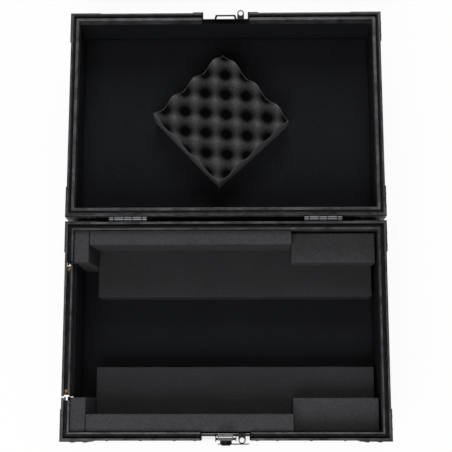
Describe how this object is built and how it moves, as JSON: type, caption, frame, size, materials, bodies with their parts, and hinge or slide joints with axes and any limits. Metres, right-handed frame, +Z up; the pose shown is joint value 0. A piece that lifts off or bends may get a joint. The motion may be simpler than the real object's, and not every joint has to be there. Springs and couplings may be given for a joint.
{
  "type": "foam-fitted flight case with hinged lid",
  "caption": "Flight case lying open: foam-fitted well, egg-crate pad in the lid, tongue and groove rims, recessed butterfly latch, back hinges and a drop-down side flap.",
  "frame": {"origin": "centre of the open case's box, on the surface that the rubber feet stand on", "axes": "+Z up; +Y from the latch at the front to the far edge of the open lid; +X to the right as the latch is faced"},
  "size_m": [0.5448, 0.7344, 0.1598],
  "materials": {
    "panel": "plywood faced with black laminate, satin",
    "lining": "thin black foam lining, matt",
    "foam": "dark grey open-cell foam, matt, knife-cut",
    "rim": "black anodised extrusion, satin",
    "edge": "black anodised angle, satin",
    "corner": "black coated pressed steel",
    "dish": "bright plated pressed steel",
    "latch": "dark coated steel",
    "hinge": "bright zinc-plated steel",
    "pin": "plain steel wire",
    "handle": "black coated steel",
    "foot": "matt black rubber"
  },
  "bodies": {
    "base": {"base_panel": "panel", "base_front_wall": "panel", "base_rear_wall": "panel", "base_left_wall": "panel", "base_right_wall": "panel", "base_wall_lining": "lining", "base_panel_lining": "lining", "base_rim_rear_run": "rim", "base_rim_front_run": "rim", "base_edge_frame": "edge", "base_ball_corner_front_left": "corner", "base_ball_corner_front_right": "corner", "base_ball_corner_rear_left": "corner", "base_ball_corner_rear_right": "corner", "base_hinge_leaf_left": "hinge", "base_hinge_leaf_right": "hinge", "hinge_pin_left": "pin", "hinge_pin_right": "pin", "base_latch_dish": "dish", "sill_hinge_leaf": "hinge", "flap_hinge_pin": "pin", "handle_plate": "handle", "foam_wide_rear": "foam", "foam_wide_front": "foam", "foam_narrow_rear": "foam", "foam_narrow_front": "foam", "foam_right_rear": "foam", "foam_right_front": "foam", "foam_left_rear": "foam", "foam_left_front": "foam", "foot_front_left": "foot", "foot_front_right": "foot", "foot_rear_left": "foot", "foot_rear_right": "foot"},
    "lid": {"lid_panel": "panel", "lid_front_wall": "panel", "lid_rear_wall": "panel", "lid_left_wall": "panel", "lid_right_wall": "panel", "lid_wall_lining": "lining", "lid_panel_lining": "lining", "lid_rim": "rim", "lid_edge_frame": "edge", "lid_ball_corner_front_left": "corner", "lid_ball_corner_front_right": "corner", "lid_ball_corner_rear_left": "corner", "lid_ball_corner_rear_right": "corner", "lid_hinge_leaf_left": "hinge", "lid_hinge_leaf_right": "hinge", "lid_latch_dish": "dish", "latch_keeper": "latch", "foam_egg_crate_pad": "foam"},
    "flap": {"flap_panel": "panel", "flap_lining": "lining", "flap_rim": "rim", "flap_hinge_leaf": "hinge"},
    "frame_of_latch": {"latch_frame": "latch"},
    "wing_of_latch": {"latch_wing": "latch"},
    "hook_of_latch": {"latch_hook": "latch"},
    "bail_of_handle": {"handle_bail": "handle"}
  },
  "joints": [
    {"name": "lid_hinge", "type": "hinge", "parent": "base", "child": "lid", "pos_m": [-0.0019, 0.0017, 0.14907], "axis": [1, 0, 0], "range_deg": [0, 181.02]},
    {"name": "flap_hinge", "type": "hinge", "parent": "base", "child": "flap", "pos_m": [-0.2672, -0.18157, 0.0399], "axis": [0, -1, 0], "range_deg": [0, 90]},
    {"name": "latch_tilt", "type": "hinge", "parent": "base", "child": "frame_of_latch", "pos_m": [-0.0019, -0.35082, 0.1119], "axis": [1, 0, 0], "range_deg": [0, 16]},
    {"name": "latch_turn", "type": "hinge", "parent": "frame_of_latch", "child": "wing_of_latch", "pos_m": [-0.0019, -0.35882, 0.1269], "axis": [0, -1, 0], "range_deg": [0, 90]},
    {"name": "hook_slide", "type": "slide", "parent": "frame_of_latch", "child": "hook_of_latch", "axis": [0, 0, 1], "range_m": [-0.004, 0]},
    {"name": "handle_pivot", "type": "hinge", "parent": "base", "child": "bail_of_handle", "pos_m": [0.2671, -0.18112, 0.0779], "axis": [0, -1, 0], "range_deg": [0, 90]}
  ],
  "couplings": [
    {"joint": "hook_slide", "follows": "latch_turn", "m_per_rad": -0.0025464}
  ]
}
